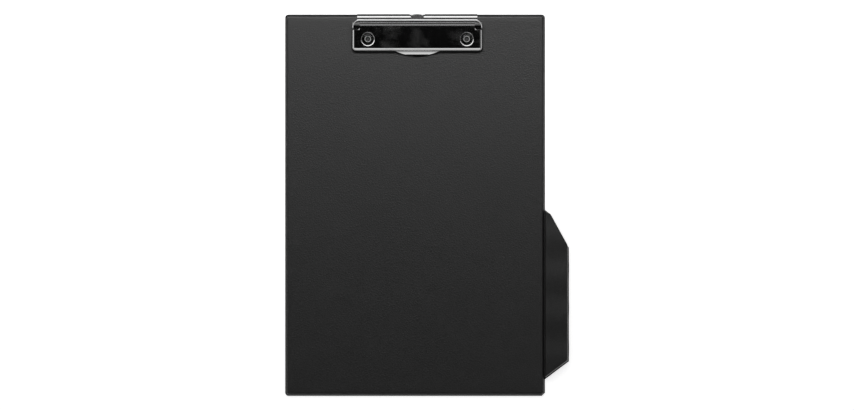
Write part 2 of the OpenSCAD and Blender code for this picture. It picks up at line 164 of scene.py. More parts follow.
# %% [markdown]
# ## Leather-grained vinyl
#
# The cover is black PVC sheet that a roller has embossed with a fine leather grain:
# pebbles over a millimetre across with narrow creases between them. Voronoi cells
# give just that, since the distance to a cell's edge is low in a crease and high on
# a pebble. A smooth step turns that distance into a low dome, because a straight
# slope looks like crumpled paper from near by. A gentle noise bends the cells first,
# or they would look like crystals. The height goes into a bump node, because real
# geometry of that size would need millions of faces. Handling polishes the crests,
# so they are smoother than the creases, and large faint clouds keep the sheet from
# looking like one flat colour.

# %% Vinyl finish
GRAIN_SCALE = (0.72, 1, 1)
WARP_STEP, WARP_PUSH = 0.6, 0.5
CREASE_EDGE, CREST_EDGE = -0.02, 0.24
PORE_SIZE, PORE_HEIGHT = 0.25, 0.15
CLOUD_SIZE, CLOUD_LOW, CLOUD_HIGH = 24 * MM, 0.35, 0.65
GREY_SPREAD, CREASE_ROUGHER = 0.18, 0.08


def vinyl_finish(name, level, pebble, emboss, rough, sheen):
    """Grained vinyl of a grey level. pebble is the grain's size and emboss its depth, in
    metres; the warp and the pores are given in pebbles. The grey is half random cloud
    and half painted shade: the creases are darker and the crests paler."""
    finish, tree, shader = new_finish(name)
    place = place_on(tree, GRAIN_SCALE)
    values = {"Vector": place, "Scale": WARP_STEP / pebble, "Detail": 1.0}
    warp = add(tree, "ShaderNodeTexNoise", values).outputs["Color"]
    values = {0: warp, 3: WARP_PUSH * pebble}
    push = add(tree, "ShaderNodeVectorMath", values, operation="SCALE").outputs[0]
    bent = add(tree, "ShaderNodeVectorMath", {0: place, 1: push}, operation="ADD").outputs[0]
    values = {"Vector": bent, "Scale": 1 / pebble}
    cells = add(tree, "ShaderNodeTexVoronoi", values, feature="DISTANCE_TO_EDGE")
    dome = {0: cells.outputs["Distance"], 1: CREASE_EDGE, 2: CREST_EDGE, 3: 0.0, 4: 1.0}
    crest = add(tree, "ShaderNodeMapRange", dome, interpolation_type="SMOOTHSTEP").outputs[0]
    pores = noise(tree, place, PORE_SIZE * pebble)
    height = maths(tree, "MULTIPLY_ADD", pores, PORE_HEIGHT, crest)
    cloud = noise(tree, place, CLOUD_SIZE, detail=3.0)
    cloud = remap(tree, cloud, CLOUD_LOW, CLOUD_HIGH, 0.0, 1.0)
    # Painted shade: half of the grey follows the crest, so the creases are darker and the crests
    # paler; the other half is random cloud.
    shade = maths(tree, "MULTIPLY_ADD", cloud, 0.5, maths(tree, "MULTIPLY", crest, 0.5))
    grey = tint(tree, shade, level * (1 - GREY_SPREAD), level * (1 + GREY_SPREAD))
    dulled = remap(tree, crest, 0.0, 1.0, rough + CREASE_ROUGHER, rough)
    embossed = bump(tree, height, emboss)
    fill(tree, shader, {"Base Color": grey, "Roughness": dulled, "Normal": embossed})
    shader.inputs["Specular IOR Level"].default_value = sheen
    print(name, "pebbles per cm:", round(10 * MM / pebble, 1))
    return finish


COVER_VINYL = vinyl_finish(
    "cover_vinyl", level=0.009, pebble=1.6 * MM, emboss=0.040 * MM, rough=0.36, sheen=1.0
)
POCKET_VINYL = vinyl_finish(
    "pocket_vinyl", level=0.010, pebble=1.4 * MM, emboss=0.034 * MM, rough=0.35, sheen=0.85
)

# %% [markdown]
# ## Welded vinyl
#
# Where a hot bar has welded two sheets, the grain is pressed flat. What is left is
# a smoother skin with faint streaks of flow, so this finish has no pebbles. It is also
# set darker, with a weak mirror: partly the pressed skin, partly painted shade where
# the rim lies low beside the shoulder. It could be a mask inside the grained finish,
# but a second finish on the rim's own faces is simpler and ends exactly at the weld.

# %% Weld finish
STREAK_SIZE, STREAK_DEEP = 1.6 * MM, 0.01 * MM
STREAK_SPREAD, STREAK_ROUGHER = 0.2, 0.10


def weld_finish(name, level, rough, sheen):
    """Vinyl that a hot bar has pressed smooth, of a grey level that is partly painted shade."""
    finish, tree, shader = new_finish(name)
    streaks = noise(tree, place_on(tree), STREAK_SIZE, detail=3.0)
    grey = tint(tree, streaks, level * (1 - STREAK_SPREAD), level * (1 + STREAK_SPREAD))
    dulled = remap(tree, streaks, NOISE_LOW, NOISE_HIGH, rough, rough + STREAK_ROUGHER)
    streaked = bump(tree, streaks, STREAK_DEEP)
    fill(tree, shader, {"Base Color": grey, "Roughness": dulled, "Normal": streaked})
    shader.inputs["Specular IOR Level"].default_value = sheen
    return finish


# Partly painted shade: the rim is set darker and nearly without sheen, for its pressed skin and for
# the shade beside the shoulder.
WELD_AND_SHADE_VINYL = weld_finish("weld_and_shade_vinyl", level=0.004, rough=0.22, sheen=0.12)
print("weld finish:", WELD_AND_SHADE_VINYL.name)

# %% [markdown]
# ## Bright nickel plate
#
# The clip is pressed from steel strip, barrel polished and nickel plated. A mirror
# shows its surroundings, so what makes it look real is not its colour but its small
# faults. Rolling leaves the sheet very slightly wavy, which bends the reflections:
# the waves are a few thousandths of a millimetre high over a centimetre. Fingers
# leave a thin greasy film in patches, which scatters a little light of its own.
# Such a patch could be made rougher, but a rough patch in a black reflection looks
# speckled. Here it is made a few hundredths less metallic, which gives a smooth grey.
# The same finish, set matt and paler than the plate, does for the rivets' rolled heads
# and for sheared edges, and the paler level is a painted highlight. Set darker, it is
# painted shade on the knuckle, the tongue and the rivets' bores.

# %% Nickel finish
WAVE_SIZE, WAVE_HIGH, RIPPLE_SIZE = 14 * MM, 0.006 * MM, 2.4 * MM
SMUDGE_SIZE, SMUDGE_SHIFT = 14 * MM, (19 * MM, 0, 0)
SMUDGE_FROM, SMUDGE_FULL = 0.50, 0.75
SMUDGE_FILM, SMUDGE_ROUGHER, SMUDGE_DARKER = 0.04, 0.03, 0.1


def nickel_finish(name, level, rough, ripple):
    """Plate of a grey level. ripple is the height of the sheet's fine waves in metres."""
    finish, tree, shader = new_finish(name)
    place = place_on(tree)
    slow = noise(tree, place, WAVE_SIZE, detail=1.0)
    fine = noise(tree, place, RIPPLE_SIZE)
    height = maths(tree, "MULTIPLY_ADD", fine, ripple / WAVE_HIGH, slow)
    values = {0: place, 1: SMUDGE_SHIFT}
    shifted = add(tree, "ShaderNodeVectorMath", values, operation="ADD").outputs[0]
    smudge = noise(tree, shifted, SMUDGE_SIZE, detail=2.5)
    smudge = remap(tree, smudge, SMUDGE_FROM, SMUDGE_FULL, 0.0, 1.0)
    grey = tint(tree, smudge, level, level * (1 - SMUDGE_DARKER))
    dulled = maths(tree, "MULTIPLY_ADD", smudge, SMUDGE_ROUGHER, rough)
    filmed = maths(tree, "MULTIPLY_ADD", smudge, -SMUDGE_FILM, 1.0)
    values = {"Base Color": grey, "Roughness": dulled, "Metallic": filmed}
    fill(tree, shader, values | {"Normal": bump(tree, height, WAVE_HIGH)})
    return finish


NICKEL = nickel_finish("nickel_plate", level=0.60, rough=0.07, ripple=0.0004 * MM)
# Painted highlight: the rivets' rolled heads are matt, and set paler than the plate, almost white,
# so that their rings show bright.
RIVET_HIGHLIGHT_NICKEL = nickel_finish("rivet_highlight_nickel", level=0.98, rough=0.58, ripple=0.001 * MM)
# Painted highlight: the sheared edges are matt, and set paler than the plate so that they show as
# bright lines.
CUT_EDGE_HIGHLIGHT = nickel_finish("cut_edge_highlight", level=0.80, rough=0.62, ripple=0.003 * MM)
# Painted shade: a darker copy of the plate, for the knuckle, the tongue in its slot and the rivets'
# bores.
SHADED_NICKEL = nickel_finish("shaded_nickel", level=0.30, rough=0.22, ripple=0.001 * MM)
NICKELS = (NICKEL, RIVET_HIGHLIGHT_NICKEL, CUT_EDGE_HIGHLIGHT, SHADED_NICKEL)
print("nickel finishes:", [finish.name for finish in NICKELS])

# %% [markdown]
# ## Spring wire and greyboard
#
# The hinge wire is drawn through a die, which leaves fine lines along its length, so
# its noise is stretched a hundred times along X. The core is pressed from waste
# paper. Nothing of it shows, but it is finished too: a mottled, matt, fibrous board.

# %% Wire and core finishes
DRAWN_LINES, LINE_SIZE, LINE_DEEP = (0.01, 1, 1), 0.12 * MM, 0.004 * MM
WIRE_DARK, WIRE_PALE, WIRE_SMOOTH, WIRE_ROUGH = 0.34, 0.50, 0.22, 0.38
FIBRE_SCALE, FIBRE_SIZE, FIBRE_DEEP = (1, 0.3, 1), 0.6 * MM, 0.05 * MM
PAPER_DARK, PAPER_PALE, PAPER_ROUGH = (0.30, 0.27, 0.23), (0.46, 0.42, 0.36), 0.95

WIRE_STEEL, tree, shader = new_finish("spring_wire")
drawn = noise(tree, place_on(tree, DRAWN_LINES), LINE_SIZE, detail=3.0)
grey = tint(tree, drawn, WIRE_DARK, WIRE_PALE)
dulled = remap(tree, drawn, NOISE_LOW, NOISE_HIGH, WIRE_SMOOTH, WIRE_ROUGH)
fill(tree, shader, {"Base Color": grey, "Roughness": dulled, "Normal": bump(tree, drawn, LINE_DEEP)})
shader.inputs["Metallic"].default_value = 1.0

GREYBOARD, tree, shader = new_finish("greyboard")
fibres = noise(tree, place_on(tree, FIBRE_SCALE), FIBRE_SIZE, detail=6.0, roughness=0.7)
mottle = remap(tree, fibres, NOISE_LOW, NOISE_HIGH, 0.0, 1.0)
mottled = blend(tree, mottle, PAPER_DARK, PAPER_PALE)
fill(tree, shader, {"Base Color": mottled, "Normal": bump(tree, fibres, FIBRE_DEEP)})
shader.inputs["Roughness"].default_value = PAPER_ROUGH
print("wire and core:", WIRE_STEEL.name, GREYBOARD.name)

# %% [markdown]
# ## Dress the CAD nodes
#
# Nodes whose shape is already right keep it and only take their finish. The others
# take one too, so that no surface is left bare before its piece replaces it.

# %% Finishes on the CAD nodes
FINISHES = {
    "core_board": GREYBOARD,
    "front_cover": COVER_VINYL,
    "back_cover": COVER_VINYL,
    "pocket_back_ply": POCKET_VINYL,
    "pocket_front_ply": POCKET_VINYL,
    "base_plate": NICKEL,
    "hinge_wire": WIRE_STEEL,
    "lever": NICKEL,
    "hanging_tongue": NICKEL,
    "rivets": RIVET_HIGHLIGHT_NICKEL,
    "rivet_washers": RIVET_HIGHLIGHT_NICKEL,
}
for name, finish in FINISHES.items():
    nodes[name].data.materials.clear()
    nodes[name].data.materials.append(finish)
print("finished CAD nodes:", len(FINISHES))

# %% [markdown]
# ## Surfaces from patches
#
# The new pieces are worked out as patches: each is a grid of points, computed as one
# array from two parameters. Patches that share a border use the very same numbers
# on it, so that welding equal points joins them into one sheet. A sheet then gets
# its thickness from a Solidify modifier, and its cut edges are broken by a Bevel,
# because a bright edge line is what shows the eye that sheet metal has thickness.

# %% Patch helpers
WELD_STEPS = 2000


def even(low, high, steps):
    """Numbers from low to high at equal steps."""
    return np.linspace(low, high, steps + 1)


def line(x, y):
    """Points from two lists of coordinates, either of which may be a single number."""
    return np.stack(np.broadcast_arrays(x, y), -1)


def patch_quads(patch, start):
    """Corner numbers of a grid's cells, counted on from start: cell (i, j) joins rows i
    and i+1 and columns j and j+1."""
    rows, columns = patch.shape[:2]
    corner = start + np.arange(rows - 1)[:, None] * columns + np.arange(columns - 1)
    corners = [corner, corner + 1, corner + columns + 1, corner + columns]
    return np.stack(corners, -1).reshape(-1, 4)


def welded_sheet(name, patches, up):
    """One mesh from grids of points in mm. Equal points, to within a step of one part in
    WELD_STEPS of a mm, become one, and cells that have lost a corner become triangles.
    The normals are made consistent, and turned over as a whole if the face nearest the
    first point of up doesn't look along its second."""
    starts = np.cumsum([0] + [p.shape[0] * p.shape[1] for p in patches])
    points = np.concatenate([p.reshape(-1, 3) for p in patches])
    quads = np.concatenate([patch_quads(p, s) for p, s in zip(patches, starts)])
    steps = np.round(points * WELD_STEPS)
    _, first, number = np.unique(steps, axis=0, return_index=True, return_inverse=True)
    quads = number.reshape(-1)[quads]
    same = quads == np.roll(quads, -1, axis=1)
    lost = same.sum(axis=1)
    threes = quads[lost == 1][~same[lost == 1]].reshape(-1, 3)
    mesh = bpy.data.meshes.new(name)
    faces = quads[lost == 0].tolist() + threes.tolist()
    mesh.from_pydata((points[first] * MM).tolist(), [], faces)
    form = bmesh.new()
    form.from_mesh(mesh)
    bmesh.ops.recalc_face_normals(form, faces=form.faces)
    spot, way = Vector(up[0]) * MM, Vector(up[1])
    nearest = min(form.faces, key=lambda face: (face.calc_center_median() - spot).length)
    if nearest.normal.dot(way) < 0:
        bmesh.ops.reverse_faces(form, faces=form.faces)
    form.to_mesh(mesh)
    form.free()
    mesh.shade_smooth()
    print(name, "points:", len(first), "faces:", len(mesh.polygons))
    return in_scene(name, mesh)


# %% [markdown]
# ## Walls, edges and finishes of a piece
#
# These helpers do to a piece what a workshop does to a pressing: give it its gauge,
# take off its burrs, and treat one area otherwise than the rest.

# %% Piece helpers
SHARP = np.radians(40)
FLAT_WEIGHT = 80


def thicken(piece, wall):
    """Gives an open sheet its wall, in mm, on the inside of the drawn surface. The cut
    edge takes the piece's second finish, if it has one."""
    solid = piece.modifiers.new("wall", "SOLIDIFY")
    solid.thickness, solid.offset = wall * MM, -1.0
    solid.use_even_offset = True
    solid.material_offset_rim = 1


def break_edges(piece, width, segments=2):
    """Rounds every sharp edge over a width in mm."""
    bevel = piece.modifiers.new("edges", "BEVEL")
    bevel.width, bevel.segments = width * MM, segments
    bevel.limit_method, bevel.angle_limit = "ANGLE", SHARP
    bevel.harden_normals = True
    bevel.use_clamp_overlap = True


def flatten_shading(piece):
    """Weights each point's normal by the area of its faces, so that flats shade flat
    right up to the bends beside them."""
    weight = piece.modifiers.new("shading", "WEIGHTED_NORMAL")
    weight.mode, weight.weight, weight.keep_sharp = "FACE_AREA", FLAT_WEIGHT, True


def finish_where(piece, number, inside):
    """Gives some faces the piece's finish of that number: those for whose centres, in
    mm, inside(x, y, z) is true."""
    faces = piece.data.polygons
    centres = np.empty(len(faces) * 3)
    faces.foreach_get("center", centres)
    chosen = np.empty(len(faces), dtype=np.int32)
    faces.foreach_get("material_index", chosen)
    chosen[inside(*(centres.reshape(-1, 3).T / MM))] = number
    faces.foreach_set("material_index", chosen)


def dress(piece, finishes, body, slot, *stands_for):
    """Gives a piece its finishes and its body, and hides the CAD nodes it stands for.
    slot is not used.
    """
    for finish in finishes:
        piece.data.materials.append(finish)
    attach(piece, body)
    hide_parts(*stands_for)


# %% [markdown]
# ## The lever
#
# The lever is one pressing: a flat top, a jaw folded down in front, a flange down
# each side, a thumb lip that swings out of the jaw's bend in an S-curve, and at the
# back a knuckle curled round the hinge wire. A designer could fold it with sheet
# metal tools. Here its outer skin is a function: a bend profile is carried along a
# path that runs down one side, round the corner and across the front, turning as it
# goes, and the lip and the knuckle are profiles of their own. All lengths are in mm
# and all angles in degrees, and the lever's own X is counted from the clip's middle.

# %% The lever's numbers
CLIP_X = 2.0
LEVER_TOP = 9.7
SHEET, LEVER_EDGE = 0.8, 0.26
SIDE_X = 55.654
FLANK_SPLAY, FLANK_DEEP = 1.2, 6.1
FLANK_R, FLANK_LEAN, FLANK_LOW = 3.4, np.degrees(np.arctan2(FLANK_SPLAY, FLANK_DEEP)), 3.6
JAW_Y, JAW_R, JAW_LOW = 143.0, 4.5, 3.2
SHOULDER_Y = 158.2
NOTCH_X, NOTCH_R, NOTCH_SLOPE = 52.05, 2.6, np.tan(np.radians(22))
LIP_X, LIP_START, LIP_END, LIP_R = 20.5, 50.0, 5.0, 6.8
ACCESS_X, ACCESS_Y, ACCESS_R = 44.65, 150.2, 5.6
HOLE_HALF = NOTCH_X - ACCESS_X
PIN_Y, PIN_Z, KNUCKLE_R, KNUCKLE_FILLET = 164.0, 9.1, 1.85, 0.8
CURL_PAST = 135

# The lip runs forward from the jaw bend by its own reach. Its rim is an arc, seen from
# above, that passes through both ends of the lip's root line
lip_reach = LIP_R * (np.sin(np.radians(LIP_START)) - np.sin(np.radians(LIP_END)))
lip_front = JAW_Y - JAW_R * np.sin(np.radians(LIP_START)) - lip_reach
lip_plan_r = (LIP_X**2 + lip_reach**2) / (2 * lip_reach)
print("lip front at Y", round(lip_front, 2), "on an arc of radius", round(lip_plan_r, 1))

# The flat top ends where the fillet at the knuckle's foot begins
KNUCKLE_RISE = KNUCKLE_FILLET + LEVER_TOP - PIN_Z
KNUCKLE_FOOT = PIN_Y - np.sqrt((KNUCKLE_R + KNUCKLE_FILLET) ** 2 - KNUCKLE_RISE**2)

# Borders that neighbouring patches share. Each side of the rectangle round a hole has
# the same number of steps
BEND_STEPS, HOLE_STEPS = 8, 14
x_lip = even(-LIP_X, LIP_X, 28)
x_mid = even(LIP_X, ACCESS_X - HOLE_HALF, 10)
x_hole = even(ACCESS_X - HOLE_HALF, NOTCH_X, HOLE_STEPS)
x_side = np.array([NOTCH_X, NOTCH_X + NOTCH_R / 2, NOTCH_X + NOTCH_R, SIDE_X])
y_plate = even(JAW_Y, SHOULDER_Y, HOLE_STEPS)
bend_share = even(0, 1, 2 * BEND_STEPS)

# %% [markdown]
# ### Bend, flange and jaw
#
# The side flange is deeper, leans outwards and has a tighter bend than the jaw, yet
# both are one strip of metal. So the strip is one patch whose bend changes evenly
# from the one to the other while it turns the corner.


# %% Bend and flange
def bend_profile(radius, lean, low):
    """Distance outwards and height of a bend and the flange below it. As far as the
    lip's angle, and on from there to upright less the lean, the profile is an arc: out
    = radius sin(angle), height = top - radius (1 - cos(angle)). Then it is a straight
    line that leans outwards, down to low. radius, lean and low are column arrays."""
    first = np.radians(LIP_START) * np.minimum(bend_share * 2, 1)
    second = (np.radians(90 - LIP_START) - np.radians(lean)) * np.maximum(bend_share * 2 - 1, 0)
    angle = first + second
    out = radius * np.sin(angle)
    height = LEVER_TOP - radius * (1 - np.cos(angle))
    run = even(0, 1, 4)[1:] * (height[:, -1:] - low)
    return (
        np.concatenate([out, out[:, -1:] + run * np.tan(np.radians(lean))], 1),
        np.concatenate([height, height[:, -1:] - run], 1),
    )


def flange_patch(side):
    """The bend profile carried along the side, round the front corner and over the
    front as far as the lip. The path's point moves along the flat top's border, and
    the profile turns from outwards to forwards on the corner, while its radius, lean
    and depth change with the turn."""
    corner = even(0, 90, 12)
    down_side = line(SIDE_X, np.concatenate([y_plate[::-1][:-1], np.full(len(corner), JAW_Y)]))
    front = line(np.concatenate([x_side[::-1][1:], x_hole[::-1][1:], x_mid[::-1][1:]]), JAW_Y)
    path = np.concatenate([down_side, front])
    turn = np.concatenate([np.zeros(len(y_plate) - 1), corner, np.full(len(front), 90.0)])[:, None]
    share = turn / 90
    out, height = bend_profile(
        FLANK_R + share * (JAW_R - FLANK_R),
        FLANK_LEAN * (1 - share),
        FLANK_LOW + share * (JAW_LOW - FLANK_LOW),
    )
    x = side * (path[:, :1] + out * np.cos(np.radians(turn)))
    y = path[:, 1:] - out * np.sin(np.radians(turn))
    return np.stack([x, y, height], -1)


# %% [markdown]
# ### Thumb lip and knuckle
#
# The lip leaves the jaw's bend before that is finished and curves the other way, so
# that a thumb can press it. The knuckle is the back edge rolled nearly shut round
# the wire. Each is one profile, so a surface of its own is simpler than a bent box.


# %% Lip and knuckle
def lip_patch():
    """Across the lip, the bend as far as the lip's angle, then an arc that curves the other
    way: height = centre height - lip radius cos(angle), where sin(angle) = distance
    from its centre over the lip radius. It ends on a wide arc seen from above."""
    angle = np.radians(LIP_START) * bend_share[: BEND_STEPS + 1] * 2
    centre_y = JAW_Y - (JAW_R + LIP_R) * np.sin(angle[-1])
    centre_z = LEVER_TOP - JAW_R + (JAW_R + LIP_R) * np.cos(angle[-1])
    start_y = JAW_Y - JAW_R * np.sin(angle[-1])
    x = x_lip[:, None]
    edge_y = lip_front + lip_plan_r - np.sqrt(lip_plan_r**2 - x**2)
    y = start_y + (edge_y - start_y) * even(0, 1, 10)[1:]
    z = centre_z - np.sqrt(LIP_R**2 - (y - centre_y) ** 2)
    shape = (len(x), len(angle))
    bend_y = np.broadcast_to(JAW_Y - JAW_R * np.sin(angle), shape)
    bend_z = np.broadcast_to(LEVER_TOP - JAW_R * (1 - np.cos(angle)), shape)
    y, z = np.concatenate([bend_y, y], 1), np.concatenate([bend_z, z], 1)
    return np.stack([np.broadcast_to(x, y.shape), y, z], -1)


def knuckle_patch(x):
    """The flat top runs back, rises through a small hollow fillet and closes round the
    wire in an arc of 283 degrees, all of it one profile carried along X."""
    meet = np.arctan2(KNUCKLE_RISE, PIN_Y - KNUCKLE_FOOT)
    foot = even(SHOULDER_Y + NOTCH_R, KNUCKLE_FOOT, 4)[1:]
    flat = np.concatenate([SHOULDER_Y + even(0, NOTCH_R, 2), foot])
    hollow = even(0, np.pi / 2 - meet, 5)[1:]
    curl = np.pi - meet - even(0, np.pi - meet + np.radians(CURL_PAST), 40)[1:]
    fillet = line(np.sin(hollow), 1 - np.cos(hollow)) * KNUCKLE_FILLET + (KNUCKLE_FOOT, LEVER_TOP)
    roll = line(np.cos(curl), np.sin(curl)) * KNUCKLE_R + (PIN_Y, PIN_Z)
    profile = np.concatenate([line(flat, LEVER_TOP), fillet, roll])
    return np.stack(np.broadcast_arrays(x[:, None], profile[:, 0], profile[:, 1]), -1)


def in_shaded_knuckle(x, y, z):
    """True behind the flat top, on the fillet and the curl, which take painted shade."""
    return y > KNUCKLE_FOOT


# %% [markdown]
# ### Flat top, access holes and notches
#
# Two round holes in the top leave room for a tool to set the rivets, and beside the
# knuckle a notch keeps clear of each ear. A punch doesn't leave a crisp edge: it drags
# the metal down with it, and that rounded edge is what catches the light as a
# crescent. It could be a bevel, but the draw is wider on one side of the hole, where
# the punch leaned, so the hole's patch has it in its formula.

# %% Flat top, holes and notches
DRAW_DOWN, DRAW_LEAST, DRAW_MOST = 0.6, 0.35, 1.25
DRAW_WAY = np.array((0.64, -0.77))
DRAW_START = 15
RAY_SHARES = (0.12, 0.4, 1)
NOTCH_LEAST = 0.01


def flat_patch(x, y):
    """A grid in the plane of the lever's top."""
    px, py = np.meshgrid(x, y, indexing="ij")
    return np.stack([px, py, np.full(px.shape, LEVER_TOP)], -1)


def hole_patch(side):
    """The plate round an access hole: rays from points on the circle out to the points
    of a rectangle's border that lie in the same direction. The punch draws the edge
    down a little: a quarter ellipse, out = draw (1 - cos(t)), down = depth (1 - sin(t)).
    The draw is widest along DRAW_WAY, towards the lower right."""
    border = np.concatenate([
        line(NOTCH_X, y_plate[:-1]),
        line(x_hole[::-1][:-1], SHOULDER_Y),
        line(ACCESS_X - HOLE_HALF, y_plate[::-1][:-1]),
        line(x_hole, JAW_Y),
    ])
    centre = np.array([ACCESS_X, ACCESS_Y])
    way = border - centre
    way = way / np.linalg.norm(way, axis=1, keepdims=True)
    turn = np.radians(even(DRAW_START, 90, 6))[:, None, None]
    leaned = (1 + way @ (DRAW_WAY * (side, 1)))[:, None] / 2
    draw = DRAW_LEAST + (DRAW_MOST - DRAW_LEAST) * leaned
    rolled = centre + (ACCESS_R + draw * (1 - np.cos(turn))) * way
    share = np.array(RAY_SHARES)[:, None, None]
    ring = np.concatenate([rolled, rolled[-1] + share * (border - rolled[-1])])
    down = np.concatenate([DRAW_DOWN * (1 - np.sin(turn)), 0 * share])
    height = np.broadcast_to(LEVER_TOP - down, ring.shape[:2] + (1,))
    return np.concatenate([ring * (side, 1), height], -1)


def notch_patch(side):
    """The rounded inside corner of the notch: rays from the corner out to a hollow
    quarter circle. The punch draws it down like a flat cone round the corner: down =
    slope times the way from the corner."""
    corner = np.array([NOTCH_X, SHOULDER_Y])
    angle = np.radians(even(270, 180, 12))
    arc = corner + NOTCH_R + NOTCH_R * line(np.cos(angle), np.sin(angle))
    fan = corner + even(0, 1, 5)[:, None, None] * (arc - corner)
    down = NOTCH_SLOPE * np.linalg.norm(fan - corner, axis=-1, keepdims=True)
    return np.concatenate([fan * (side, 1), LEVER_TOP - down], -1)


def in_notch_highlight(x, y, z):
    """True on the notches' drawn corners, which the punch has rubbed matt and which take
    the paler edge finish as a painted highlight.
    """
    out = np.abs(x - CLIP_X)
    across = (out > NOTCH_X) & (out < NOTCH_X + NOTCH_R)
    along = (y > SHOULDER_Y) & (y < SHOULDER_Y + NOTCH_R)
    return across & along & (z < LEVER_TOP - NOTCH_LEAST)


# %% [markdown]
# ### The whole lever
#
# All patches are welded into one skin and moved to the clip's middle. Then the skin
# gets the sheet's thickness and its edges are broken, as a tumbling barrel does it.

# %% Build the lever
inner_x = np.concatenate([-x_mid[::-1], x_lip[1:-1], x_mid])
knuckle_x = np.concatenate([-x_hole[::-1][:-1], inner_x, x_hole[1:]])
skin = [lip_patch(), knuckle_patch(knuckle_x), flat_patch(inner_x, y_plate)]
for side in (-1, 1):
    skin += [flange_patch(side), hole_patch(side), notch_patch(side)]
    skin.append(flat_patch(side * x_side, y_plate))
skin = [patch + (CLIP_X, 0, 0) for patch in skin]
lever = welded_sheet("lever_plate", skin, up=((CLIP_X, ACCESS_Y, LEVER_TOP), (0, 0, 1)))
finish_where(lever, 2, in_shaded_knuckle)
finish_where(lever, 1, in_notch_highlight)
thicken(lever, SHEET)
break_edges(lever, LEVER_EDGE, segments=3)
dress(lever, [NICKEL, CUT_EDGE_HIGHLIGHT, SHADED_NICKEL], "lever", "nickel", "lever")

# %% [markdown]
# ## Base plate and tongue
#
# These two are pressed from the same strip. Their shape in the CAD model is already
# the true one, so a copy of its mesh is enough: its loose triangles are welded, flat
# ones are joined to whole faces, and then the cut edges can be broken with a bevel.
# The wall's upper edge was sheared, and takes the duller finish of a cut edge, set
# paler than the plate as a painted highlight. The tongue takes the darker nickel, as
# painted shade.

# %% Copies with broken edges
FLAT = np.radians(0.5)
SAME_POINT = 1e-7
FACING_UP, NEAR_TOP = 0.9, 0.1
BASE_EDGE, TONGUE_EDGE = 0.34, 0.16


def broken_copy(node, name, width):
    """A welded copy of a CAD node's mesh with its sharp edges rounded over a width in
    mm. Flat faces at its very top are the cut edge: they take its second finish, which
    is set paler as a painted highlight."""
    mesh = nodes[node].data.copy()
    mesh.name = name
    mesh.materials.clear()
    form = bmesh.new()
    form.from_mesh(mesh)
    bmesh.ops.remove_doubles(form, verts=form.verts, dist=SAME_POINT)
    bmesh.ops.dissolve_limit(form, angle_limit=FLAT, verts=form.verts, edges=form.edges)
    near_top = max(v.co.z for v in form.verts) - NEAR_TOP * MM
    for face in form.faces:
        sheared_and_highlit = face.normal.z > FACING_UP and face.calc_center_median().z > near_top
        face.material_index = int(sheared_and_highlit)
    form.to_mesh(mesh)
    form.free()
    mesh.shade_smooth()
    piece = in_scene(name, mesh)
    break_edges(piece, width)
    flatten_shading(piece)
    print(name, "faces:", len(mesh.polygons))
    return piece


base = broken_copy("base_plate", "base_pressing", BASE_EDGE)
dress(base, [NICKEL, CUT_EDGE_HIGHLIGHT], "board", "nickel", "base_plate")
tongue = broken_copy("hanging_tongue", "tongue_pressing", TONGUE_EDGE)
dress(tongue, [SHADED_NICKEL, CUT_EDGE_HIGHLIGHT], "tongue", "nickel", "hanging_tongue")

# %% [markdown]
# ## Tubular rivets
#
# A tubular rivet is a piece of tube. The setting tool rolls its upper end outwards
# into a ring over the base plate and its lower end outwards over the washer. Inside
# the ring the metal slopes down to the bore like a funnel. The rivet is round, so
# its surface is a half-section carried round an axis: a closed loop of radius and
# height, times a full turn. The ring is rubbed matt by the tool and set paler than
# the plate, as a painted highlight, and the funnel and the bore are set dark, as
# painted shade.

# %% Rivets
RIVET_BORE, RIVET_SHANK = 1.3, 1.8
HEAD_LOW, HEAD_TALL, HEAD_R = 4.2, 1.2, 3.0
CLINCH_LOW, CLINCH_TALL, CLINCH_R = 0.5, 0.45, 3.2
ROLL_HALF, ROLL_FOOT, ROLL_TURN = 0.45, 0.25, 150
FUNNEL_IN, FUNNEL_DEEP = 0.2, 0.6


def roll(outer, foot, tall):
    """A rolled ring's section, from its outer foot over its crest and down a funnel to
    the bore: part of an ellipse, r = middle + half cos(a), z = foot + tall (f + (1 - f)
    sin(a)), where f is ROLL_FOOT and a goes from 0 to ROLL_TURN, then a straight slope."""
    angle = np.radians(even(0, ROLL_TURN, 14))
    ring_z = foot + tall * (ROLL_FOOT + (1 - ROLL_FOOT) * np.sin(angle))
    ring = line(outer - ROLL_HALF + ROLL_HALF * np.cos(angle), ring_z)
    funnel = np.array([RIVET_BORE + FUNNEL_IN, foot - FUNNEL_DEEP * tall])
    slope = ring[-1] + even(0, 1, 4)[1:, None] * (funnel - ring[-1])
    return np.concatenate([ring, slope])


def revolved(section, centre_x, centre_y):
    """x = centre x + r cos(t), y = centre y + r sin(t), z as it is, t over a full turn."""
    turn = even(0, 2 * np.pi, 64)[:, None]
    r, z = section[:, 0], section[:, 1]
    ring = np.stack(np.broadcast_arrays(r * np.cos(turn), r * np.sin(turn), z), -1)
    ring[-1] = ring[0]
    return ring + (centre_x, centre_y, 0)


def at_both_rivets(section):
    """The section revolved round the left rivet's axis and round the right one's."""
    return [revolved(section, CLIP_X + side * ACCESS_X, ACCESS_Y) for side in (-1, 1)]


def in_shaded_funnel(x, y, z):
    """True inside the rolled heads, in the funnel and the bore, which take painted shade."""
    out = np.hypot(np.abs(x - CLIP_X) - ACCESS_X, y - ACCESS_Y)
    return (out < HEAD_R - 2 * ROLL_HALF) & (z < HEAD_LOW + HEAD_TALL / 2)


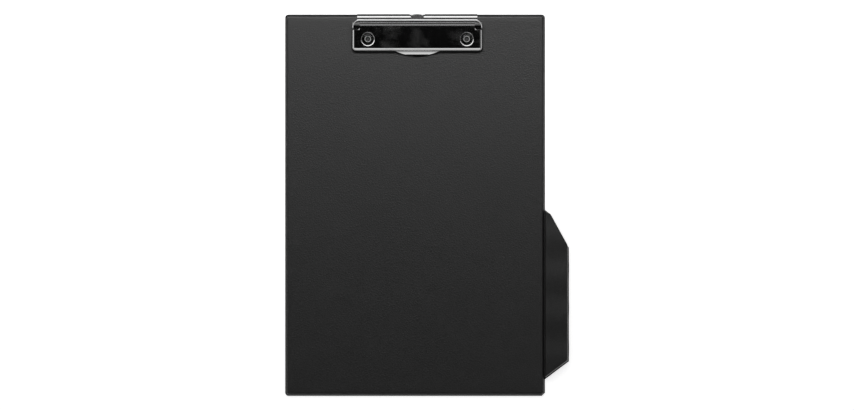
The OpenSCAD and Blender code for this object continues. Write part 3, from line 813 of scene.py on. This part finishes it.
head = roll(HEAD_R, HEAD_LOW, HEAD_TALL)
clinch = roll(CLINCH_R, CLINCH_LOW, -CLINCH_TALL)
shank = np.array([[RIVET_SHANK, CLINCH_LOW], [RIVET_SHANK, HEAD_LOW], [HEAD_R, HEAD_LOW]])
tube = np.concatenate([head, clinch[::-1], [[CLINCH_R, CLINCH_LOW]], shank, head[:1]])
crest = (CLIP_X + ACCESS_X + HEAD_R - ROLL_HALF, ACCESS_Y, HEAD_LOW + HEAD_TALL)
rivets = welded_sheet("rolled_rivets", at_both_rivets(tube), up=(crest, (0, 0, 1)))
finish_where(rivets, 1, in_shaded_funnel)
dress(rivets, [RIVET_HIGHLIGHT_NICKEL, SHADED_NICKEL], "board", "rivet_steel", "rivets")

# %% [markdown]
# ### Rivet seats
#
# Under each head the base plate is raised into a low round seat, so that the head
# stands clear of the floor. A plain disc would have a hard edge that a press never
# makes. The seat's shoulder is a soft step, z = floor + rise (1 + cos(t)) / 2, which
# mirrors the light as a thin arc. It lies a hundredth of a millimetre over the
# plate, because two surfaces in one place would flicker.

# %% Rivet seats
SEAT_FLAT, SEAT_FOOT, SEAT_RISE = 3.8, 4.7, 0.31
FLOOR_TOP, SEAT_LIFT = 3.90, 0.01

fall = np.radians(even(0, 180, 16))
seat_r = np.concatenate([[RIVET_SHANK], SEAT_FLAT + (SEAT_FOOT - SEAT_FLAT) * fall / np.pi])
seat_z = np.concatenate([[SEAT_RISE], SEAT_RISE * (1 + np.cos(fall)) / 2])
seat = line(seat_r, FLOOR_TOP + SEAT_LIFT + seat_z)
seat_top = (CLIP_X + ACCESS_X + SEAT_FLAT, ACCESS_Y, FLOOR_TOP + SEAT_RISE)
seats = welded_sheet("rivet_seats", at_both_rivets(seat), up=(seat_top, (0, 0, 1)))
dress(seats, [NICKEL], "board", "nickel", "base_plate")

# %% [markdown]
# ## Front vinyl
#
# The cover is one sheet, stretched over the core and welded to the back sheet in a
# narrow rim all round. The welding bar leaves a groove in the middle of that rim,
# and the warm sheet gathers into three small puckers at each corner. So the piece is
# a cross-section carried round the outline, plus a grid for the face, whose slow
# waves are far less than a tenth of a millimetre. A box with rounded edges would
# have neither the rim nor the puckers.

# %% The board's numbers, in mm
HALF_W, HALF_H = 117.5, 172.5
CORNER_R, TRIM_LEG, TRIM_R = 3.0, 2.8, 0.05
RIM_W, HOLLOW_R, SHOULDER_R = 1.1, 0.25, 1.9
VINYL_T, RIM_TOP, FACE_Z = 0.35, 0.70, 3.10
GROOVE_DEEP, GROOVE_WIDE = 0.10, 0.16
PUCKERS, PUCKER_DEEP, PUCKER_IN, PUCKER_WIDE = 3, 0.07, 1.4, 0.45
WAVE_DEEP, WAVE_X, WAVE_Y, SWAY, SWAY_Y, FADE_POWER = 0.03, 19, 27, 0.6, 31, 8
WELD_UP = 0.2

inner_w, inner_h = HALF_W - CORNER_R, HALF_H - CORNER_R
face_x = even(-inner_w, inner_w, 58)
face_y = even(-inner_h, inner_h, 86)
corner_turn = even(0, 90, 18)
print("flat part of the face in mm:", 2 * inner_w, "x", 2 * inner_h)

# %% [markdown]
# ### Section and outline
#
# The section is a list of insets and heights. The outline is a list of points with
# the way that each looks. Multiplying the two gives the whole edge at once, and the
# corners, the puckers and the trimmed corner are only changes to the reach.


# %% Front vinyl's shape
def groove(inset, weld):
    """How far the welding bar has pressed the middle of a weld down: deep exp(-((inset
    - middle) / wide)^2), at an inset from its edge, where the weld is so many mm wide."""
    return GROOVE_DEEP * np.exp(-(((inset - weld / 2) / GROOVE_WIDE) ** 2))


def board_section():
    """Inset from the outline and height, from the rim's outer foot up to the face: the
    trimmed edge, the rim with its groove, a small hollow fillet, and the shoulder, an
    arc that ends on the face."""
    edge = np.radians(even(0, 90, 4))
    rim = even(TRIM_R, RIM_W - HOLLOW_R, 12)[1:]
    hollow = np.radians(even(0, 90, 4)[1:])
    shoulder = np.radians(even(0, 90, 12))
    section = np.concatenate([
        [(0, VINYL_T)],
        line(TRIM_R * (1 - np.cos(edge)), RIM_TOP - TRIM_R * (1 - np.sin(edge))),
        line(rim, RIM_TOP - groove(rim, RIM_W)),
        line(RIM_W - HOLLOW_R * (1 - np.sin(hollow)), RIM_TOP + HOLLOW_R * (1 - np.cos(hollow))),
        line(CORNER_R - SHOULDER_R * np.cos(shoulder), FACE_Z - SHOULDER_R * (1 - np.sin(shoulder))),
    ])
    return section[:, 0], section[:, 1]


def board_loop():
    """Base points, outward angles in radians and pucker shares once round the outline,
    anticlockwise from the lower left corner's end. The last of each is the first again."""
    base, angle, share = [], [], []
    sides = (
        (line(face_x, -inner_h), -90),
        (line(inner_w, face_y), 0),
        (line(face_x[::-1], inner_h), 90),
        (line(-inner_w, face_y[::-1]), 180),
    )
    for points, way in sides:
        base += [points[:-1], np.repeat(points[-1:], len(corner_turn), axis=0)]
        angle += [np.full(len(points) - 1, float(way)), way + corner_turn]
        share += [np.zeros(len(points) - 1), np.sin(np.radians(2 * PUCKERS * corner_turn)) ** 2]
    base, angle, share = (np.concatenate(parts + [parts[0][:1]]) for parts in (base, angle, share))
    return base, np.radians(angle), share


def skirt(inset, height):
    """The section carried round the outline: point = base + reach (cos a, sin a). The
    reach is the corner radius less the inset, but where the trimmed corner's straight
    cut comes nearer, the rim is squeezed to fit."""
    base, angle, share = board_loop()
    cut = (2 * CORNER_R - TRIM_LEG) / np.sqrt(2)
    at_trim = (base[:, 0] > 0) & (base[:, 1] < 0)
    nearer = cut / np.cos(np.clip(angle + np.pi / 4, -np.pi / 4, np.pi / 4))
    outer = np.where(at_trim, np.minimum(CORNER_R, nearer), CORNER_R)[:, None]
    squeezed = SHOULDER_R + (1 - inset / RIM_W) * (outer - SHOULDER_R)
    reach = np.where(inset < RIM_W, squeezed, CORNER_R - inset)
    pucker = share[:, None] * np.exp(-(((inset - PUCKER_IN) / PUCKER_WIDE) ** 2))
    reach = reach - PUCKER_DEEP * pucker
    x = base[:, :1] + reach * np.cos(angle)[:, None]
    y = base[:, 1:] + reach * np.sin(angle)[:, None]
    return np.stack([x, y, np.broadcast_to(height, x.shape)], -1)


def face_patch():
    """The writing face: z = face - deep fade (1 + sin(x/19 + 0.6 sin(y/31)) sin(y/27)),
    where fade is 1 in the middle and 0 on the border."""
    x, y = np.meshgrid(face_x, face_y, indexing="ij")
    fade = (1 - (x / inner_w) ** FADE_POWER) * (1 - (y / inner_h) ** FADE_POWER)
    wave = 1 + np.sin(x / WAVE_X + SWAY * np.sin(y / SWAY_Y)) * np.sin(y / WAVE_Y)
    return np.stack([x, y, FACE_Z - WAVE_DEEP * fade * wave], -1)


def in_rim(x, y, z):
    """True on the welded rim and on its hollow, which the bar has pressed smooth and
    which take the dark weld finish, partly painted shade.
    """
    return z < RIM_TOP + WELD_UP


# %% [markdown]
# ### Lay the front vinyl
#
# The sheet is cut a little larger than the board, because it also goes over the
# shoulder and out into the weld: 1.2 mm more on each side.

cover_patches = [skirt(*board_section()), face_patch()]
cover = welded_sheet("front_vinyl", cover_patches, up=((0, 0, FACE_Z), (0, 0, 1)))
finish_where(cover, 1, in_rim)
dress(cover, [COVER_VINYL, WELD_AND_SHADE_VINYL], "board", "vinyl", "front_cover")

# %% [markdown]
# ## Pen pocket
#
# The pocket is two plies of thinner vinyl, welded together along the foot and the
# outer side and to the board's rim along the root. The upper ply was moulded into a
# trough with an open, slanting mouth. Its height over the plan is a product of three
# ramps, one for each closed side. A ramp is a superellipse, steep at its foot and
# flat at its top, as a warm sheet leaves a mould. Cooling then leaves slow waves
# along the trough and makes the welded edge ripple.

# %% The pocket's numbers, in mm
ROOT_X, ROOT_TUCK = HALF_W, 1.0
OUTER_X, WELD_W = 139.2, 1.1
FOOT_Y, SIDE_LOW_Y, SIDE_HIGH_Y, MOUTH_Y = -157.5, -141.2, -38.6, -4.5
FACET_X, FACET_Y = 122.5, -8.1
PLY_T, PLY_LOW, PLY_TOP = 0.35, 0.70, 6.80
ROOT_RAMP, SIDE_RAMP, FOOT_RAMP = 0.5, 0.9, 1.6
RAMP_POWER = 2.5
RIPPLE_LONG, RIPPLE_HIGH, RIPPLE_SHIFT = 36.0, 0.40, 57.0
TROUGH_WAVE = 0.18

foot_slope = (SIDE_LOW_Y - FOOT_Y) / (OUTER_X - ROOT_X)
foot_stretch = np.hypot(1, foot_slope)
print("foot slopes up at", round(float(np.degrees(np.arctan(foot_slope))), 1), "degrees")


# %% The pocket's ramps and places
def ramp(distance, width):
    """A superellipse quarter: 0 at distance 0 and 1 from width on,
    (1 - (1 - distance / width)^n)^(1/n)."""
    left = 1 - np.clip(distance / width, 0, 1)
    return (1 - left**RAMP_POWER) ** (1 / RAMP_POWER)


def ramp_steps(width, steps):
    """Distances that follow a ramp at equal turns, so that its steep foot is smooth."""
    return width * (1 - np.cos(even(0, np.pi / 2, steps)) ** (2 / RAMP_POWER))


def foot_line(x):
    """The foot's Y at each X: level under the board's rim, then a straight slope."""
    return FOOT_Y + np.maximum(x - ROOT_X, 0) * foot_slope


def pocket_grid():
    """Places on the pocket's plan, and each one's distance from the foot line. Columns
    run from foot to mouth. Rows follow the foot line at first and then swing round
    to the mouth."""
    x = np.concatenate([
        even(ROOT_X - ROOT_TUCK, ROOT_X, 2),
        ROOT_X + ramp_steps(ROOT_RAMP, 9)[1:],
        even(ROOT_X + ROOT_RAMP, FACET_X, 2)[1:],
        even(FACET_X, OUTER_X - WELD_W - SIDE_RAMP, 9)[1:],
        OUTER_X - WELD_W - ramp_steps(SIDE_RAMP, 9)[::-1][1:],
        OUTER_X - WELD_W * even(0, 1, 9)[::-1][1:],
    ])[:, None]
    away = np.concatenate([WELD_W * even(0, 1, 9), WELD_W + ramp_steps(FOOT_RAMP, 12)[1:]])
    foot = foot_line(x)
    mouth = np.interp(x, [ROOT_X, FACET_X, OUTER_X], [MOUTH_Y, FACET_Y, SIDE_HIGH_Y])
    start = foot + away * foot_stretch
    y = np.concatenate([start, start[:, -1:] + even(0, 1, 110)[1:] * (mouth - start[:, -1:])], 1)
    return np.broadcast_to(x, y.shape), y, (y - foot) / foot_stretch


# %% [markdown]
# ### The two plies
#
# Both plies are the same surface. The back one has no bulge and the front one has
# all of it, so they meet exactly along the weld. Each gets its wall downwards.

# %% Build the pocket
TROUGH_MIDDLE = (128, -90, 7)
ply_mid = PLY_LOW + PLY_T


def pocket_ply(low, bulge):
    """One ply's upper surface. The welded edge ripples along Y, more towards its border,
    and a groove runs along the middle of the weld."""
    x, y, away = pocket_grid()
    turn = 2 * np.pi * (y + RIPPLE_SHIFT) / RIPPLE_LONG
    out = np.clip((x - OUTER_X + WELD_W + SIDE_RAMP) / (WELD_W + SIDE_RAMP), 0, 1)
    rise = ramp(x - ROOT_X, ROOT_RAMP) * ramp(OUTER_X - WELD_W - x, SIDE_RAMP)
    rise = bulge * rise * ramp(away - WELD_W, FOOT_RAMP)
    wave = TROUGH_WAVE * rise / max(bulge, 1) * (1 + np.sin(turn))
    ripple = RIPPLE_HIGH * out**2 * np.cos(turn)
    z = low + rise - wave - groove(np.minimum(OUTER_X - x, away), WELD_W) + ripple
    return np.stack([x, y, z], -1)


def in_pocket_weld(x, y, z):
    """True on the welded margin: nearer to the outer side or to the foot line than its width."""
    return np.minimum(OUTER_X - x, (y - foot_line(x)) / foot_stretch) < WELD_W


def pocket_piece(name, top, bulge):
    """A ply with its wall, whose weld takes the second finish."""
    ply = welded_sheet(name, [pocket_ply(top, bulge)], up=(TROUGH_MIDDLE, (0, 0, 1)))
    finish_where(ply, 1, in_pocket_weld)
    thicken(ply, PLY_T)
    return ply


back_ply = pocket_piece("pocket_back", ply_mid, 0.0)
dress(back_ply, [POCKET_VINYL, WELD_AND_SHADE_VINYL], "board", "pocket_vinyl", "pocket_back_ply")

front_ply = pocket_piece("pocket_front", ply_mid + PLY_T, PLY_TOP - ply_mid - PLY_T)
dress(front_ply, [POCKET_VINYL, WELD_AND_SHADE_VINYL], "board", "pocket_vinyl", "pocket_front_ply")

# %% [markdown]
# ## Floor
#
# The board lies on a plain white table. The table's white comes from its own colour
# and from a little light of its own that only the camera and mirrors see, so the
# lamps can stay at a plain level, and the shadow beside the board is kept.

# %% Floor
FLOOR_GLOW, FLOOR_GREY, FLOOR_ROUGH = 0.65, 0.82, 0.9
FLOOR_HALF, FLOOR_Z = 8.0, -0.02 * MM
X_WAY, Y_WAY, Z_WAY = np.eye(3)


def staged_sheet(name, centre, right, up):
    """A rectangle in the scene. Its corners are the centre plus or minus
    two half sides, each a vector."""
    signs = np.array([[-1, -1], [1, -1], [1, 1], [-1, 1]])
    mesh = bpy.data.meshes.new(name)
    mesh.from_pydata((signs @ np.array([right, up]) + centre).tolist(), [], [(0, 1, 2, 3)])
    sheet = in_scene(name, mesh)
    return sheet


floor = staged_sheet("floor", FLOOR_Z * Z_WAY, FLOOR_HALF * X_WAY, FLOOR_HALF * Y_WAY)
FLOOR_WHITE, tree, shader = new_finish("floor_white")
shader.inputs["Base Color"].default_value = (FLOOR_GREY, FLOOR_GREY, FLOOR_GREY, 1)
shader.inputs["Roughness"].default_value = FLOOR_ROUGH
shader.inputs["Emission Color"].default_value = (1, 1, 1, 1)
rays = add(tree, "ShaderNodeLightPath")
seen = maths(tree, "ADD", rays.outputs["Is Camera Ray"], rays.outputs["Is Glossy Ray"])
seen = maths(tree, "ADD", seen, rays.outputs["Is Transmission Ray"])
fill(tree, shader, {"Emission Strength": maths(tree, "MULTIPLY", seen, FLOOR_GLOW)})
floor.data.materials.append(FLOOR_WHITE)
print("floor half side in m:", FLOOR_HALF)

# %% [markdown]
# ## Lamps
#
# Two lamps share the work, because black vinyl and bright plate want different
# light. A big soft box behind the board's upper edge draws the clip's bends as clean
# lines and throws the soft shadow. A narrow key lamp, 24 degrees from the vertical on
# the clip's side, brings out the vinyl's grain and lets its tone fall off towards the
# foot. One lamp can't do both: what is strong enough for black vinyl blots out the
# fine lines in a mirror. Light linking keeps the two apart, since a lamp lights only
# the objects in its receiver collection.

# %% Lamps
CLIP_Y = 150 * MM
KEY_RADIANCE = 1.5
KEY_NEAR, KEY_FAR = np.array((255, 607)) * MM, np.array((860, 300)) * MM
KEY_LONG, KEY_X = 1600 * MM, -260 * MM
LAMP_RADIANCE = 8.3
LAMP_LONG, LAMP_WIDE = 1400 * MM, 240 * MM
LAMP_AWAY, LAMP_LEAN = 1300 * MM, float(np.radians(24))
VINYL_PIECES = ("front_vinyl", "back_cover", "pocket_front", "pocket_back")


def strip_lamp(name, radiance, long, wide, place, tilt):
    """An area lamp that is long along X and turned about X from straight down. Its
    energy is its radiance times pi times its area."""
    data = bpy.data.lights.new(name, "AREA")
    data.shape, data.size, data.size_y = "RECTANGLE", long, wide
    data.energy = radiance * np.pi * long * wide
    lamp = in_scene(name, data)
    lamp.location, lamp.rotation_euler = place, (tilt, 0, 0)
    lamp.visible_camera = False
    print(name, "power in W:", round(data.energy, 2))
    return lamp


def light_only(source, name, pieces):
    """Links a lamp or a card to the pieces that it may light."""
    receivers = bpy.data.collections.new(name)
    for piece in pieces:
        receivers.objects.link(piece)
    source.light_linking.receiver_collection = receivers


key_run = KEY_FAR - KEY_NEAR
key_wide, key_tilt = float(np.hypot(*key_run)), float(np.arctan2(key_run[1], key_run[0]))
key_place = (KEY_X, *((KEY_NEAR + KEY_FAR) / 2))
key = strip_lamp("soft_box", KEY_RADIANCE, KEY_LONG, key_wide, key_place, key_tilt)

lamp_place = (0, CLIP_Y + LAMP_AWAY * np.sin(LAMP_LEAN), LAMP_AWAY * np.cos(LAMP_LEAN))
lamp = strip_lamp("key_lamp", LAMP_RADIANCE, LAMP_LONG, LAMP_WIDE, lamp_place, -LAMP_LEAN)

pieces = [piece for piece in bpy.context.scene.objects if piece.type == "MESH" and piece != floor]
vinyl = [piece for piece in pieces if piece.name in VINYL_PIECES]
metal = [piece for piece in pieces if piece.name not in VINYL_PIECES]
light_only(lamp, "vinyl_pieces", vinyl)
light_only(key, "not_vinyl", metal + [floor])

# %% [markdown]
# ## Flags and cards
#
# Polished metal under a white ceiling would look white, so studios hang a black flag
# above it: the flat top then mirrors the flag, and only the bends reach past it and
# catch the light. What they should catch is put there as cards: a white one in front
# for the jaw's bend, one at each side for the flanges, and a narrow grey one close
# behind the clip for the knuckle. A low flag on the table keeps the floor's white out
# of the rear wall. All of them are sheets that only mirrors see. The white card and
# the side cards are also linked to the metal, so the vinyl keeps its tone.


# %% Card finish
def mirrored_only(sheet):
    """Makes a sheet show in mirrors, but light nothing and hide nothing."""
    sheet.visible_camera = sheet.visible_diffuse = False
    sheet.visible_shadow = sheet.visible_transmission = False


def card_finish(name, low, high=None, axis=0, start=0.0, reach=1.0):
    """A sheet that gives off a grey of its own, from low at start metres from the middle
    along an axis to high at reach metres. Without a high it is low all over."""
    finish, tree, shader = new_finish(name)
    place = add(tree, "ShaderNodeSeparateXYZ", {0: place_on(tree)}).outputs[axis]
    away = maths(tree, "ABSOLUTE", place, 0.0)
    level = remap(tree, away, start, reach, low, low if high is None else high)
    shader.inputs["Base Color"].default_value = (0, 0, 0, 1)
    shader.inputs["Roughness"].default_value = 1.0
    shader.inputs["Specular IOR Level"].default_value = 0.0
    shader.inputs["Emission Color"].default_value = (1, 1, 1, 1)
    fill(tree, shader, {"Emission Strength": level})
    return finish


def card(name, finish, centre, right, up, link=None):
    """A staged sheet with a card's finish. link names its link to the metal, if it has one."""
    sheet = staged_sheet(name, centre, right, up)
    sheet.data.materials.append(finish)
    mirrored_only(sheet)
    if link:
        light_only(sheet, link, metal)
    print(sheet.name, "hangs at, in mm:", [round(float(v / MM)) for v in centre])


# %% [markdown]
# ### Hang them
#
# The black flag is a little paler towards its ends, as a cloth is that catches stray
# light. The white card gets brighter and the side cards darker with their height,
# since an even card would mirror as a hard-edged bar in the bends.

# %% Flags and cards
SIDEWAYS, UPWARDS = 0, 2
FLAG_Y, FLAG_Z, FLAG_LONG, FLAG_WIDE = 218 * MM, 1200 * MM, 2400 * MM, 782 * MM
FLAG_BLACK, FLAG_ENDS, FLAG_START, FLAG_REACH = 0.003, 0.10, 0.5, 1.5
finish = card_finish("flag_black", FLAG_BLACK, FLAG_ENDS, SIDEWAYS, FLAG_START, FLAG_REACH)
card("black_flag", finish, FLAG_Y * Y_WAY + FLAG_Z * Z_WAY, FLAG_LONG * X_WAY, FLAG_WIDE * Y_WAY)

CARD_LOW, CARD_HIGH, CARD_START, CARD_REACH = 0.4, 1.0, 0.5, 1.3
CARD_TILT, CARD_AWAY, CARD_AIM_Y = np.radians(54.5), 2200 * MM, 140 * MM
CARD_LONG, CARD_TALL = 2000 * MM, 970 * MM
away = np.cos(CARD_TILT) * Z_WAY - np.sin(CARD_TILT) * Y_WAY
along = np.sin(CARD_TILT) * Z_WAY + np.cos(CARD_TILT) * Y_WAY
centre = CARD_AIM_Y * Y_WAY + CARD_AWAY * away
finish = card_finish("card_white", CARD_LOW, CARD_HIGH, UPWARDS, CARD_START, CARD_REACH)
card("white_card", finish, centre, CARD_LONG * X_WAY, CARD_TALL * along, "metal_pieces")

SIDE_LEVELS, SIDE_TOP, SIDE_START, SIDE_REACH = {-1: 1.1, 1: 0.6}, 0.2, 0.6, 0.8
SIDE_AWAY, SIDE_LONG, SIDE_TALL = 1500 * MM, 800 * MM, 595 * MM
for way, level in SIDE_LEVELS.items():
    finish = card_finish("side_card_white", level, SIDE_TOP, UPWARDS, SIDE_START, SIDE_REACH)
    centre = way * SIDE_AWAY * X_WAY + CLIP_Y * Y_WAY + SIDE_TALL * Z_WAY
    card("side_card", finish, centre, SIDE_TALL * Z_WAY, SIDE_LONG * Y_WAY, "side_metal")

LOW_Y, LOW_Z, LOW_LONG, LOW_WIDE = 795 * MM, 0.5 * MM, 1500 * MM, 620 * MM
LOW_BLACK = 0.02
finish = card_finish("low_flag_black", LOW_BLACK)
card("low_flag", finish, LOW_Y * Y_WAY + LOW_Z * Z_WAY, LOW_LONG * X_WAY, LOW_WIDE * Y_WAY)

BEHIND_Y, BEHIND_Z, BEHIND_LONG, BEHIND_TALL = 166.1 * MM, 17.9 * MM, 60 * MM, 6.1 * MM
BEHIND_GREY = 0.20
finish = card_finish("knuckle_card_grey", BEHIND_GREY)
centre = CLIP_X * MM * X_WAY + BEHIND_Y * Y_WAY + BEHIND_Z * Z_WAY
card("knuckle_card", finish, centre, BEHIND_LONG * X_WAY, BEHIND_TALL * Z_WAY)

# %% [markdown]
# ## The room
#
# The rest of the light comes evenly from all sides, as in a room with pale walls. The
# camera sees the room brighter than the pieces do, so the picture's far border stays
# as pale as the table.

# %% Room
ROOM_LIGHT, ROOM_SEEN = 0.3, 0.92

room = bpy.data.worlds.new("room")
bpy.context.scene.world = room
room.use_nodes = True
tree = room.node_tree
backdrop = tree.nodes["Background"]
rays = add(tree, "ShaderNodeLightPath")
seen = maths(tree, "MAXIMUM", rays.outputs["Is Camera Ray"], rays.outputs["Is Transmission Ray"])
fill(tree, backdrop, {"Strength": remap(tree, seen, 0.0, 1.0, ROOM_LIGHT, ROOM_SEEN)})
backdrop.inputs["Color"].default_value = (1, 1, 1, 1)
print("room level:", ROOM_LIGHT)
